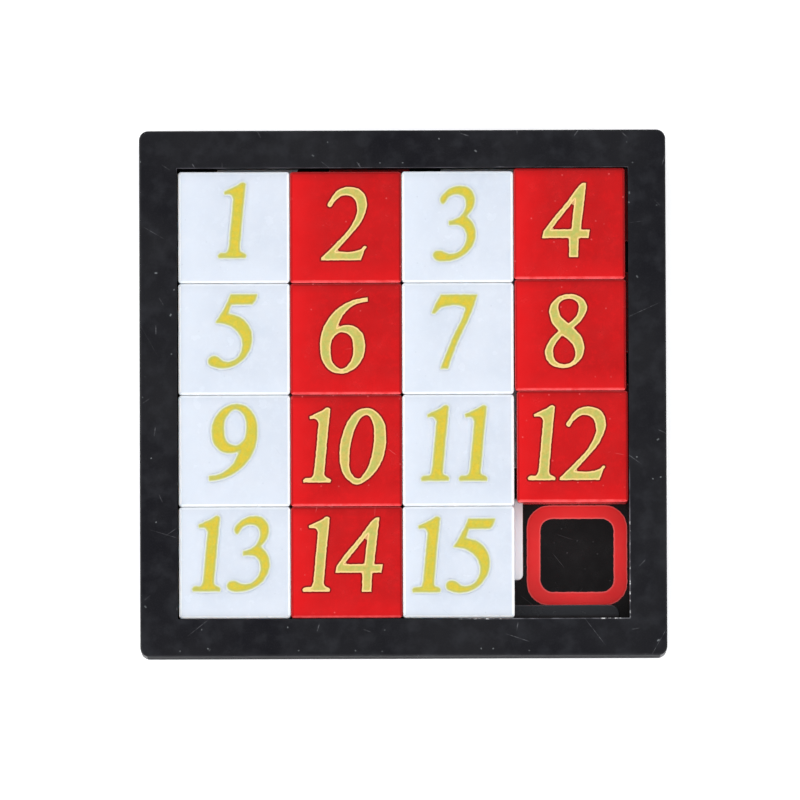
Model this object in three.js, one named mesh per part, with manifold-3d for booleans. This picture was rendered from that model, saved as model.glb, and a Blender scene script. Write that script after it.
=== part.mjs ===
// Sliding tile puzzle: a square frame and base plate that hold fifteen interlocking tiles and one
// open cell. Millimetres, +Z up, origin under the middle of the base. +X runs to the right and
// +Y to the top of the puzzle as its numbers are read.
import * as THREE from 'three';
import { mergeVertices } from 'three/addons/utils/BufferGeometryUtils.js';
import Module from 'manifold-3d';

// Frame
const FRAME_SIZE = 80;
const FRAME_HEIGHT = 10;
const FRAME_CORNER_R = 1.4;
const FRAME_EDGE_R = 0.45;
const OPENING = 68.6;
const RIM_UNDERSIDE = 5.6; // the rim overhangs the locking plates above this height
const REBATE_DEPTH = 1.5; // how far the space under the rim runs into the walls
const SKIRT_WALL = 1.0; // thin lip of the frame round the base plate
const SKIRT_LIFT = 0.2; // the frame's lip stops short of the table, and the base plate rests on it
const FIT_GAP = 0.15; // between the frame and the base plate

// Base plate, with the rail and tongue along its left and bottom sides
const FLOOR_TOP = 2.0;
const BASE_CORNER_R = 0.8;
const RAIL_WIDTH = 1.3;
const TONGUE_DEPTH = 2.2; // how far the tongue stands into the opening
const TONGUE_END_R = 1.4;
const TONGUE_END_GAP = 1.5; // the tongue stops this far short of the far wall
const UNDERSIDE_PANEL = 58;
const UNDERSIDE_PANEL_DEPTH = 0.5;

// Tiles
const TILE = 16.94;
const PITCH = 17.0;
const TILE_CORNER_R = 0.5;
const TILE_EDGE_R = 0.3;
const TILE_BOTTOM = 2.1;
const TILE_TOP = 9.5;
const PLATE_SIZE = 12.3; // the locking plate is a square that sits towards the tile's top right
const PLATE_REACH = 1.3; // how far it stands out of the tile's right and top sides
const PLATE_BOTTOM = 4.05;
const PLATE_TOP = 5.45;
const GROOVE_CLEARANCE = 0.15; // above and below a plate in its neighbour's groove
const NECK_INSET = 0.4; // the neck that joins slab and foot stays inside the slab's outline

// Where the tiles lie in the frame: they rest against its left and bottom sides, with the running
// play at the top and right. The tiles over the open cell have been pushed up and to the right.
const LEFT_GAP = 0.2;
const BOTTOM_GAP = 0.1;
const ROWS_FROM_TOP = [[1, 2, 3, 4], [5, 6, 7, 8], [9, 10, 11, 12], [13, 14, 15]];
const PUSHED = { 4: [0, 0.46], 8: [0.1, 0.5], 12: [0.36, 0.54] };

// Screws
const SCREW_INSET = 3.0; // from the frame's outer faces to a screw's axis
const HEAD_R = 1.3;
const HEAD_HEIGHT = 0.7;
const HEAD_RECESS = 0.3; // how far a head sits inside the base plate
const COUNTERBORE_R = 1.55;
const COUNTERBORE_DEPTH = 1.1;
const CLEARANCE_HOLE_R = 0.9;
const SHANK_R = 0.58;
const SHANK_TIP = 7.2;
const TIP_LENGTH = 0.9;
const PILOT_R = 0.8;
const PILOT_TOP = 8.0;
const SCREW_CROSS = [1.5, 0.36, 0.4]; // length, width and depth of the cross recess

const ROUND_STEPS = 16;
const CORNER_STEPS = 2; // each gives two facets to a round corner
const INNER_CORNER_STEPS = 1; // for corners inside the tiles
const BEVEL_STEPS = 1;
const CUT = 1; // how far a cutting solid runs past the face it opens

const BLACK = { color: 0x222226, roughness: 0.45, metalness: 0 };
const FLOOR_BLACK = { color: 0x171516, roughness: 0.25, metalness: 0 };
const WHITE = { color: 0xe4e9f0, roughness: 0.25, metalness: 0 };
const RED = { color: 0xcc1c20, roughness: 0.25, metalness: 0 };
const STEEL = { color: 0x8e9092, roughness: 0.35, metalness: 1 };

const wasm = await Module();
wasm.setup();

// A closed geometry, as a solid that can be joined and cut.
function solid(geometry) {
  geometry.deleteAttribute('normal');
  geometry.deleteAttribute('uv');
  const merged = mergeVertices(geometry, 1e-5);
  const mesh = new wasm.Mesh({
    numProp: 3,
    vertProperties: merged.attributes.position.array,
    triVerts: new Uint32Array(merged.index.array),
  });
  return new wasm.Manifold(mesh);
}

// A solid, as a named mesh with its own material.
function part(name, body, finish) {
  const mesh = body.getMesh();
  const geometry = new THREE.BufferGeometry();
  geometry.setAttribute('position', new THREE.BufferAttribute(mesh.vertProperties, 3));
  geometry.setIndex(new THREE.BufferAttribute(mesh.triVerts, 1));
  geometry.computeVertexNormals();
  const result = new THREE.Mesh(geometry, new THREE.MeshStandardMaterial(finish));
  result.name = name;
  return result;
}

// A square outline with round corners, from its lower left corner.
function roundedSquare(left, bottom, size, radius) {
  const shape = new THREE.Shape();
  const near = radius;
  const far = size - radius;
  shape.absarc(left + far, bottom + near, radius, -Math.PI / 2, 0);
  shape.absarc(left + far, bottom + far, radius, 0, Math.PI / 2);
  shape.absarc(left + near, bottom + far, radius, Math.PI / 2, Math.PI);
  shape.absarc(left + near, bottom + near, radius, Math.PI, Math.PI * 1.5);
  shape.closePath();
  return shape;
}

// A square slab with round corners between two heights. An edge radius rounds its two rims
// inside the same outline.
function slab(left, bottom, size, radius, low, high, edge = 0, steps = CORNER_STEPS) {
  const shape = roundedSquare(left + edge, bottom + edge, size - 2 * edge, radius - edge);
  const geometry = new THREE.ExtrudeGeometry(shape, {
    depth: high - low - 2 * edge,
    curveSegments: steps,
    bevelEnabled: edge > 0,
    bevelThickness: edge,
    bevelSize: edge,
    bevelSegments: BEVEL_STEPS,
  });
  geometry.translate(0, 0, low + edge);
  return solid(geometry);
}

function box(left, right, bottom, top, low, high) {
  const geometry = new THREE.BoxGeometry(right - left, top - bottom, high - low);
  geometry.translate((left + right) / 2, (bottom + top) / 2, (low + high) / 2);
  return solid(geometry);
}

// A square box about the puzzle's middle.
function centredBox(size, low, high) {
  return box(-size / 2, size / 2, -size / 2, size / 2, low, high);
}

function cylinder(x, y, radius, low, high) {
  const geometry = new THREE.CylinderGeometry(radius, radius, high - low, ROUND_STEPS);
  geometry.rotateX(Math.PI / 2);
  geometry.translate(x, y, (low + high) / 2);
  return solid(geometry);
}

function screwCentres() {
  const reach = FRAME_SIZE / 2 - SCREW_INSET;
  return [[-reach, -reach], [reach, -reach], [reach, reach], [-reach, reach]];
}

// The ring: its rim overhangs a rebate, and its thin lip goes down round the base plate.
function bezelFrame() {
  const half = FRAME_SIZE / 2;
  const recess = FRAME_SIZE - 2 * SKIRT_WALL;
  let ring = slab(-half, -half, FRAME_SIZE, FRAME_CORNER_R, SKIRT_LIFT, FRAME_HEIGHT, FRAME_EDGE_R);
  ring = ring.subtract(centredBox(OPENING, -CUT, FRAME_HEIGHT + CUT));
  ring = ring.subtract(centredBox(OPENING + 2 * REBATE_DEPTH, -CUT, RIM_UNDERSIDE));
  ring = ring.subtract(centredBox(recess, -CUT, FLOOR_TOP + FIT_GAP));
  for (const [x, y] of screwCentres()) {
    ring = ring.subtract(cylinder(x, y, PILOT_R, -CUT, PILOT_TOP));
  }
  return part('bezel_frame', ring, BLACK);
}

// The outline of the tongue along the bottom wall, with its far end rounded off. Turned about the
// diagonal, it is also the tongue along the left wall.
function tongueOutline(start, wall) {
  const tip = wall + TONGUE_DEPTH;
  const end = OPENING / 2 - TONGUE_END_GAP;
  const shape = new THREE.Shape();
  shape.moveTo(start, wall - RAIL_WIDTH / 2);
  shape.lineTo(end, wall - RAIL_WIDTH / 2);
  shape.lineTo(end, tip - TONGUE_END_R);
  shape.absarc(end - TONGUE_END_R, tip - TONGUE_END_R, TONGUE_END_R, 0, Math.PI / 2);
  shape.lineTo(start, tip);
  shape.closePath();
  return shape;
}

// One side's rail, which fills the rebate, and the tongue that stands out of it over the floor.
function railWithTongue(turned) {
  const wall = -OPENING / 2;
  const inner = wall - FIT_GAP / 3;
  const outer = inner - RAIL_WIDTH;
  const rail = box(outer, OPENING / 2, outer, inner, FLOOR_TOP - CUT, PLATE_TOP);
  const tongue = new THREE.ExtrudeGeometry(tongueOutline(inner - RAIL_WIDTH / 2, wall), {
    depth: PLATE_TOP - PLATE_BOTTOM,
    curveSegments: 2 * CORNER_STEPS,
    bevelEnabled: false,
  });
  tongue.translate(0, 0, PLATE_BOTTOM);
  const side = rail.add(solid(tongue));
  return turned ? side.mirror([1, -1, 0]) : side;
}

// The floor under the tiles, the rails along two sides, and the recessed panel underneath.
function basePlate() {
  const size = FRAME_SIZE - 2 * (SKIRT_WALL + FIT_GAP);
  const panel = UNDERSIDE_PANEL;
  let plate = slab(-size / 2, -size / 2, size, BASE_CORNER_R, 0, FLOOR_TOP);
  plate = plate.add(railWithTongue(false)).add(railWithTongue(true));
  plate = plate.subtract(slab(-panel / 2, -panel / 2, panel, 2, -CUT, UNDERSIDE_PANEL_DEPTH));
  for (const [x, y] of screwCentres()) {
    plate = plate.subtract(cylinder(x, y, CLEARANCE_HOLE_R, -CUT, FLOOR_TOP + CUT));
    plate = plate.subtract(cylinder(x, y, COUNTERBORE_R, -CUT, COUNTERBORE_DEPTH));
  }
  return part('base_plate', plate, FLOOR_BLACK);
}

// A square layer inside a tile, with its lower left corner on the tile's diagonal.
function layer(start, size, low, high) {
  return slab(start, start, size, TILE_CORNER_R, low, high, 0, INNER_CORNER_STEPS);
}

// One tile about its own lower left corner: slab, foot, neck and locking plate in one moulding.
function tileBody() {
  const plateStart = TILE + PLATE_REACH - PLATE_SIZE;
  const grooveLow = PLATE_BOTTOM - GROOVE_CLEARANCE;
  const grooveHigh = PLATE_TOP + GROOVE_CLEARANCE;
  const neck = TILE - NECK_INSET - plateStart;
  return slab(0, 0, TILE, TILE_CORNER_R, grooveHigh, TILE_TOP, TILE_EDGE_R)
    .add(layer(0, TILE, TILE_BOTTOM, grooveLow))
    .add(layer(plateStart, neck, TILE_BOTTOM + CUT, grooveHigh + CUT))
    .add(layer(plateStart, PLATE_SIZE, PLATE_BOTTOM, PLATE_TOP));
}

// The fifteen tiles, placed by row and column.
function tiles() {
  const group = new THREE.Group();
  const body = tileBody();
  ROWS_FROM_TOP.forEach((row, rowIndex) => {
    row.forEach((number, column) => {
      const finish = column % 2 === 0 ? WHITE : RED;
      const tile = part(`tile_${String(number).padStart(2, '0')}`, body, finish);
      const [right, up] = PUSHED[number] ?? [0, 0];
      tile.position.x = -OPENING / 2 + LEFT_GAP + column * PITCH + right;
      tile.position.y = -OPENING / 2 + BOTTOM_GAP + (3 - rowIndex) * PITCH + up;
      group.add(tile);
    });
  });
  return group;
}

// A small screw, head down, about its own axis, with a cross recess in the head.
function screwBody() {
  const headBottom = HEAD_RECESS;
  const headTop = HEAD_RECESS + HEAD_HEIGHT;
  const profile = [
    [0, headBottom],
    [HEAD_R * 0.72, headBottom],
    [HEAD_R, headBottom + HEAD_HEIGHT * 0.45],
    [HEAD_R, headTop],
    [SHANK_R, headTop],
    [SHANK_R, SHANK_TIP - TIP_LENGTH],
    [0, SHANK_TIP],
  ].map(([radius, height]) => new THREE.Vector2(radius, height));
  const turned = new THREE.LatheGeometry(profile, ROUND_STEPS);
  turned.rotateX(Math.PI / 2);
  const [length, width, depth] = SCREW_CROSS;
  const low = headBottom - CUT;
  const high = headBottom + depth;
  return solid(turned)
    .subtract(box(-length / 2, length / 2, -width / 2, width / 2, low, high))
    .subtract(box(-width / 2, width / 2, -length / 2, length / 2, low, high));
}

function screws() {
  const group = new THREE.Group();
  const body = screwBody();
  screwCentres().forEach(([x, y], index) => {
    const screw = part(`screw_${index + 1}`, body, STEEL);
    screw.position.set(x, y, 0);
    group.add(screw);
  });
  return group;
}

const puzzle = new THREE.Group();
puzzle.add(bezelFrame(), basePlate(), tiles(), screws());
export default puzzle;
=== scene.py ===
# Looks for the sliding tile puzzle: the black frame and tray, fifteen moulded tiles with gold
# numerals printed on them, a printed outline on the tray's floor, and four screws underneath.
# Lengths are millimetres until a mesh is made. +X is right and +Y is up as the numbers are read.
import math

import bmesh
import bpy
from mathutils import Matrix, Vector, geometry, kdtree, noise


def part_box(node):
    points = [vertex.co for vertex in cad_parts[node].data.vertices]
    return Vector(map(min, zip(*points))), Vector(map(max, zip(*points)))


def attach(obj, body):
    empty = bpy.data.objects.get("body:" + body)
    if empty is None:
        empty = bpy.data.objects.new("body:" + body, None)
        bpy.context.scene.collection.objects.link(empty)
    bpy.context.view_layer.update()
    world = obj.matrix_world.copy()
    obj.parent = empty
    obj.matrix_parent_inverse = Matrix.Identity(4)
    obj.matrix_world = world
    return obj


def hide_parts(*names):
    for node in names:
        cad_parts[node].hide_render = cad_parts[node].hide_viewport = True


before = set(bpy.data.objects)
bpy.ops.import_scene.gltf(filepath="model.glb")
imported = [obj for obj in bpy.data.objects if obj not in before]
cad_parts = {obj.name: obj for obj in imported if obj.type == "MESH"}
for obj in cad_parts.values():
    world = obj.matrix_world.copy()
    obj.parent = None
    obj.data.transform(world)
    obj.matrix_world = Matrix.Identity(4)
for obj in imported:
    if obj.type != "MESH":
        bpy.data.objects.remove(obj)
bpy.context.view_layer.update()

MM = 0.001

# Frame and tray, on the CAD's sizes, with edges rounded finer than there
OPENING_HALF = 34.3
RIM_UNDERSIDE = 5.6
REBATE_HALF = 35.8
SKIRT_HALF = 39.0
TRAY_TOP_GAP_Z = 2.15
FRAME_CORNER_R = 1.4
INNER_CORNER_R = 0.15
FRAME_FOOT_R = 0.12
FRAME_TOP_R = 0.35
LIP_R = 0.07
LIP_FLAT = 0.2
RIM_UNDER_R = 0.1
REBATE_R = 0.08
FLOOR_TOP = 2.0
TRAY_CORNER_R = 0.8
PANEL_HALF = 29.0
PANEL_CORNER_R = 2.0
PANEL_DEPTH = 0.5
PANEL_EDGE_R = 0.1
TRAY_FOOT_R = 0.15
TRAY_TOP_R = 0.1
TRAY_TOP_INSET = 0.5
RAIL_FACE = 34.35
RAIL_BACK = 35.65
TONGUE_TIP = 32.1
TONGUE_END = 32.8
TONGUE_END_R = 1.4
RAIL_BEVEL = 0.1
TONGUE_BEVEL = 0.18
RAIL_TOP_GAP = 0.02
RAIL_SINK = 1.0
PLATE_LOW = 4.05
PLATE_HIGH = 5.45

# Tiles
TILE = 16.94
TILE_CORNER_R = 0.5
TILE_EDGE_R = 0.16
TILE_RIM = 0.3
GROOVE_LOW = 3.9
GROOVE_HIGH = 5.6
PLATE_START = 5.94
PLATE_CORNER_R = 0.8
PLATE_SIZE = 12.3
NECK_START = 6.3
NECK_SIZE = 10.24
FOOT_EDGE_R = 0.2
FOOT_TOP_R = 0.12
FOOT_LOW_INSET = 0.8
FOOT_TOP_INSET = 0.4
PLATE_LOWER_R = 0.14
PLATE_UPPER_R = 0.2
PLATE_INSET = 0.3
SLAB_LOWER_R = 0.1
SLAB_INSET = 0.3
SLAB_TOP_RINGS = (TILE_RIM, TILE_RIM + 0.15, 1.6, 4.0)
RIM_SLACK = 0.02
RIM_BAND_RISE = 3.0
LAYER_CORNER_R = 0.15

# Printing
INK_HEIGHT = 0.04
INK_FILM = 0.006
INK_ROUND = 0.15
INK_SPREAD = 0.28
INK_SPACING = 0.22
EDGE_WANDER = 0.06
EDGE_WANDER_SCALE = 2.1
CLEAR_SHARE = 0.93
GRID_STEP = 1.6
GRID_MARGIN = 1.7
FLOOR_PRINT_CENTRE = (26.4, -24.4)
FLOOR_PRINT_EDGES = ((7.6, 3.4), (5.6, 1.9))
FLOOR_PRINT_SPACING = 0.3
FLOOR_PRINT_SPREAD = 0.03

# Screws
SCREW_REACH = 37.0
COUNTERBORE_R = 1.55
COUNTERBORE_DEPTH = 1.1
CHAMFER = 0.1
CUT_PAST = 1.0
CLEARANCE_R = 0.9
PILOT_R = 0.8
PILOT_TOP = 8.0
PILOT_FLARE = 0.2
PILOT_LOW = 1.0
FLARE_HIGH = 2.3
FLARE_END = 2.5
RECESS_LONG = 0.75
RECESS_SHORT = 0.18
# Radius, and height above the head's face
SCREW_PROFILE = [
    (0.55, 0), (0.94, 0.04), (1.2, 0.16), (1.3, 0.34), (1.3, 0.66),
    (1.26, 0.7), (0.62, 0.72), (0.58, 0.8), (0.58, 6.0), (0.05, 6.9),
]
# Share of the recess's size, and height above the head's face
RECESS_TAPER = ((1.08, -0.1), (0.8, 0.42))

# Wear with a painted highlight on the frame's lip beside the open cell, and a painted reflection on the
# wall above the top row. Each pair is where it starts and where it is full.
LIP_WEAR_AND_HIGHLIGHT_X = (8.0, 11.0)
LIP_WEAR_AND_HIGHLIGHT_Y = (-8.0, -18.0)
LIP_WEAR_AND_HIGHLIGHT_Z = (9.86, 9.91)
WALL_REFLECTION_Y = (33.0, 34.0)
WALL_REFLECTION_Z = (8.6, 9.6)
# Limits that pick out the vertices of the lip, the opening's walls, the outer sides and the tongue
EDGE_BAND_LOW = 9.8
EDGE_BAND_REACH = 0.1
WALL_BAND_TOP = 9.99
WALL_BAND_REACH = 0.05
SIDE_BAND_TOP = 9.7
SIDE_BAND_REACH = 39.9
# Where the painted light on the tongue gives way to the painted shadow of the frame's rim
TONGUE_RIM_SHADOW = (-33.95, -33.5)

# Table, in millimetres. Lights and camera, in metres, degrees and watts
TABLE_HALF = 2000
TABLE_LEVEL = -0.02
TABLE_GLOW = 0.34
DOME_STRENGTH = 1.52
DOME_STOPS = [(0.0, 0.4), (0.25, 0.7), (0.5, 1.0), (0.86, 1.0), (0.94, 0.18), (1.0, 0.13)]
LIGHT_AZIMUTHS = {"left_light": 180, "front_light": 270}
LIGHT_ELEVATION = 42
LIGHT_DISTANCE = 1.6
LIGHT_SIZE = 0.9
LIGHT_POWER = 4
CAMERA_SENSOR_MM = 36
CAMERA_LENS_MM = 889
CAMERA_TILT = 3.4
CAMERA_ROLL = -0.2
CAMERA_AIM_MM = (-0.455, -1.09, 10.0)
CAMERA_DISTANCE = 3.0

CORNER_STEPS = 8
FILLET_STEPS = 4
TURN_STEPS = 32
SHARP_ANGLE = 38
UV_GAP = 200


# ---- Mesh helpers ----

def square_loop(middle, half, radius, height):
    """A square outline with round corners, as points at one height. middle is its centre."""
    points = []
    reach = half - radius
    for quarter, (side_x, side_y) in enumerate([(1, 1), (-1, 1), (-1, -1), (1, -1)]):
        for step in range(CORNER_STEPS + 1):
            angle = math.pi / 2 * (quarter + step / CORNER_STEPS)
            x = middle[0] + side_x * reach + radius * math.cos(angle)
            y = middle[1] + side_y * reach + radius * math.sin(angle)
            points.append(Vector((x, y, height)))
    return points


def filleted(corners, closed=False):
    """A profile of (reach, height, radius) corners, as (reach, height) points along its arcs."""
    points = []
    for i, (reach, height, radius) in enumerate(corners):
        at_end = not closed and i in (0, len(corners) - 1)
        if radius == 0 or at_end:
            points.append((reach, height))
            continue
        here = Vector((reach, height))
        back = (Vector(corners[i - 1][:2]) - here).normalized()
        on = (Vector(corners[(i + 1) % len(corners)][:2]) - here).normalized()
        half_angle = back.angle(on) / 2
        centre = here + (back + on).normalized() * (radius / math.sin(half_angle))
        first = here + back * (radius / math.tan(half_angle)) - centre
        last = here + on * (radius / math.tan(half_angle)) - centre
        for step in range(FILLET_STEPS + 1):
            spoke = first.normalized().slerp(last.normalized(), step / FILLET_STEPS)
            points.append(tuple(centre + spoke * radius))
    return points


def loft(bm, loops, closed=False):
    """Quads between outlines with equal numbers of points. An open loft is capped at both ends."""
    rings = [[bm.verts.new(point) for point in loop] for loop in loops]
    pairs = list(zip(rings, rings[1:]))
    if closed:
        pairs.append((rings[-1], rings[0]))
    else:
        bm.faces.new(list(reversed(rings[0])))
        bm.faces.new(rings[-1])
    for lower, upper in pairs:
        for i in range(len(lower)):
            j = (i + 1) % len(lower)
            bm.faces.new((lower[i], lower[j], upper[j], upper[i]))


def revolve(bm, x, y, profile):
    """A solid of revolution about a vertical axis. Its profile is (radius, height) points."""
    loops = []
    turn = [math.tau * i / TURN_STEPS for i in range(TURN_STEPS)]
    for radius, height in profile:
        loops.append([Vector((x + radius * math.cos(a), y + radius * math.sin(a), height)) for a in turn])
    loft(bm, loops)


def prism(bm, outline, low, high, bevel):
    """An upright solid on an anticlockwise outline. Its top edge is rounded over by bevel."""
    loops = [[Vector((x, y, low)) for x, y in outline]]
    loops.append([Vector((x, y, high - bevel)) for x, y in outline])
    for step in range(1, FILLET_STEPS + 1):
        angle = math.pi / 2 * step / FILLET_STEPS
        inner = inset(outline, bevel * (1 - math.cos(angle)))
        rise = high - bevel + bevel * math.sin(angle)
        loops.append([Vector((x, y, rise)) for x, y in inner])
    loft(bm, loops)


def inset(outline, depth):
    """An anticlockwise outline moved inwards by depth at each of its corners."""
    moved = []
    for i, point in enumerate(outline):
        here = Vector(point)
        into = (here - Vector(outline[i - 1])).normalized()
        out = (Vector(outline[(i + 1) % len(outline)]) - here).normalized()
        side = Vector((-into.y - out.y, into.x + out.x))
        side.normalize()
        spread = max(0.3, side.dot(Vector((-into.y, into.x))))
        moved.append(tuple(here + side * (depth / spread)))
    return moved


def arc(x, y, radius, start, end, steps):
    """Points round an arc, between two angles in degrees."""
    angles = [math.radians(start + (end - start) * i / steps) for i in range(steps + 1)]
    return [(x + radius * math.cos(a), y + radius * math.sin(a)) for a in angles]


def new_mesh(name, bm):
    """A mesh in metres, with its faces turned outwards."""
    bmesh.ops.recalc_face_normals(bm, faces=bm.faces)
    bmesh.ops.scale(bm, vec=(MM, MM, MM), verts=bm.verts)
    mesh = bpy.data.meshes.new(name)
    bm.to_mesh(mesh)
    bm.free()
    return mesh


def solid(build, *arguments):
    """The mesh that build draws into an empty bmesh."""
    bm = bmesh.new()
    build(bm, *arguments)
    return new_mesh("solid", bm)


def boolean(mesh, tool, operation):
    """mesh joined with, or cut by, another closed mesh."""
    target = bpy.data.objects.new("target", mesh)
    other = bpy.data.objects.new("tool", tool)
    for obj in (target, other):
        bpy.context.scene.collection.objects.link(obj)
    modifier = target.modifiers.new("boolean", "BOOLEAN")
    modifier.operation = operation
    modifier.solver = "EXACT"
    modifier.object = other
    graph = bpy.context.evaluated_depsgraph_get()
    result = bpy.data.meshes.new_from_object(target.evaluated_get(graph))
    for obj in (target, other):
        bpy.data.objects.remove(obj)
    return result


def paint(mesh, name, value_at):
    """A float on each vertex, from a function of its place in millimetres."""
    layer = mesh.attributes.new(name, "FLOAT", "POINT")
    for vertex, item in zip(mesh.vertices, layer.data):
        item.value = value_at(vertex.co / MM)


def unfold(mesh):
    """A UV map in millimetres, laid on each face from the axis that it faces most."""
    layer = mesh.uv_layers.new(name="flat")
    for face in mesh.polygons:
        size = [abs(part) for part in face.normal]
        axis = size.index(max(size))
        across, up = [(1, 2), (0, 2), (0, 1)][axis]
        for loop in face.loop_indices:
            place = mesh.vertices[mesh.loops[loop].vertex_index].co / MM
            layer.data[loop].uv = (place[across] + UV_GAP * axis, place[up])


def piece(name, mesh, material, body, stands_for=()):
    """A named object that rides on a body, with flat faces kept flat beside their rounded edges."""
    mesh.name = name
    unfold(mesh)
    mesh.materials.clear()
    mesh.materials.append(material)
    mesh.shade_smooth()
    mesh.set_sharp_from_angle(angle=math.radians(SHARP_ANGLE))
    obj = bpy.data.objects.new(name, mesh)
    bpy.context.scene.collection.objects.link(obj)
    weighted = obj.modifiers.new("flat faces", "WEIGHTED_NORMAL")
    weighted.keep_sharp = True
    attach(obj, body)
    if stands_for:
        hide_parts(*stands_for)
    return obj


# ---- Materials ----

class Finish:
    """A procedural material: a Principled shader and short calls for the nodes that feed it."""

    def __init__(self, name, **constants):
        self.material = bpy.data.materials.new(name)
        self.material.use_nodes = True
        self.tree = self.material.node_tree
        self.tree.nodes.clear()
        self.shader = self.add("ShaderNodeBsdfPrincipled")
        output = self.add("ShaderNodeOutputMaterial")
        self.link(self.shader.outputs[0], output.inputs["Surface"])
        for socket, value in constants.items():
            self.shader.inputs[socket.replace("_", " ")].default_value = value
        coordinates = self.add("ShaderNodeTexCoord")
        self.place = self.stretch(coordinates.outputs["Object"], (1 / MM,) * 3)
        self.flat = self.add("ShaderNodeUVMap", uv_map="flat").outputs[0]

    def add(self, kind, **settings):
        node = self.tree.nodes.new(kind)
        for key, value in settings.items():
            setattr(node, key, value)
        return node

    def link(self, output, socket):
        self.tree.links.new(output, socket)

    def axes(self):
        """X, Y and Z in millimetres."""
        node = self.add("ShaderNodeSeparateXYZ")
        self.link(self.place, node.inputs[0])
        return node.outputs[:3]

    def feed(self, socket, value):
        """A link, or a plain value, into a socket."""
        if isinstance(value, bpy.types.NodeSocket):
            self.link(value, socket)
        else:
            socket.default_value = value

    def stretch(self, vector, scale):
        node = self.add("ShaderNodeMapping")
        self.link(vector, node.inputs["Vector"])
        node.inputs["Scale"].default_value = scale
        return node.outputs[0]

    def noise(self, scale, detail=2.0, rough=0.5, place=None):
        """Noise with about scale features in a millimetre."""
        node = self.add("ShaderNodeTexNoise")
        self.link(place or self.place, node.inputs["Vector"])
        node.inputs["Scale"].default_value = scale
        node.inputs["Detail"].default_value = detail
        node.inputs["Roughness"].default_value = rough
        return node.outputs[0]

    def attribute(self, name):
        return self.add("ShaderNodeAttribute", attribute_name=name).outputs["Fac"]

    def between(self, value, low, high, at_low=0.0, at_high=1.0):
        """Maps low..high to at_low..at_high, held level outside."""
        node = self.add("ShaderNodeMapRange")
        self.feed(node.inputs["Value"], value)
        node.inputs["From Min"].default_value = low
        node.inputs["From Max"].default_value = high
        node.inputs["To Min"].default_value = at_low
        node.inputs["To Max"].default_value = at_high
        return node.outputs[0]

    def math(self, operation, first, second):
        node = self.add("ShaderNodeMath", operation=operation)
        self.feed(node.inputs[0], first)
        self.feed(node.inputs[1], second)
        return node.outputs[0]

    def mix(self, share, first, second):
        """A colour between two, at a share from 0 to 1."""
        node = self.add("ShaderNodeMix", data_type="RGBA")
        self.feed(node.inputs["Factor"], share)
        for socket, value in ((node.inputs[6], first), (node.inputs[7], second)):
            self.feed(socket, value)
        return node.outputs[2]

    def bump(self, height, depth, below=None):
        """Relief of height 0..1, depth millimetres deep."""
        node = self.add("ShaderNodeBump")
        node.inputs["Distance"].default_value = depth * MM
        self.link(height, node.inputs["Height"])
        if below:
            self.link(below, node.inputs["Normal"])
        return node.outputs[0]

    def vector(self, operation, first, second):
        node = self.add("ShaderNodeVectorMath", operation=operation)
        self.feed(node.inputs[0], first)
        self.feed(node.inputs[1], second)
        return node.outputs["Value" if operation == "DOT_PRODUCT" else "Vector"]

    def marks(self, scale, length, width, share):
        """Scattered straight marks as a mask, scale of them in a millimetre, each at its own angle.
        About this share of the cells holds one, and no two are equally strong."""
        cells = self.add("ShaderNodeTexVoronoi", voronoi_dimensions="2D")
        self.link(self.flat, cells.inputs["Vector"])
        cells.inputs["Scale"].default_value = scale
        chance = self.add("ShaderNodeSeparateColor")
        self.link(cells.outputs["Color"], chance.inputs[0])
        red, green = chance.outputs[:2]
        away = self.vector("SUBTRACT", self.flat, cells.outputs["Position"])
        angle = self.math("MULTIPLY", red, math.pi)
        along = self.add("ShaderNodeCombineXYZ")
        self.link(self.math("COSINE", angle, 0), along.inputs[0])
        self.link(self.math("SINE", angle, 0), along.inputs[1])
        ahead = self.math("ABSOLUTE", self.vector("DOT_PRODUCT", away, along.outputs[0]), 0)
        side = self.vector("CROSS_PRODUCT", away, along.outputs[0])
        aside = self.vector("DOT_PRODUCT", side, (0, 0, 1))
        aside = self.math("ABSOLUTE", aside, 0)
        reach = self.between(ahead, length * 0.25, length * 0.5, 1.0, 0.0)
        line = self.between(aside, width * 0.2, width * 0.5, 1.0, 0.0)
        strength = self.between(green, 1 - share, 1.0, 0.0, 1.0)
        strength = self.math("SQRT", strength, 0)
        return self.math("MULTIPLY", self.math("MULTIPLY", reach, line), strength)

    def finish(self, color=None, roughness=None, normal=None):
        for socket, value in (("Base Color", color), ("Roughness", roughness), ("Normal", normal)):
            if value is not None:
                self.feed(self.shader.inputs[socket], value)
        return self.material


def rgb(red, green, blue):
    """A colour from 0..255 display values, as linear light."""
    def linear(value):
        share = value / 255
        return share / 12.92 if share <= 0.04045 else ((share + 0.055) / 1.055) ** 2.4
    return (linear(red), linear(green), linear(blue), 1.0)


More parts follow.
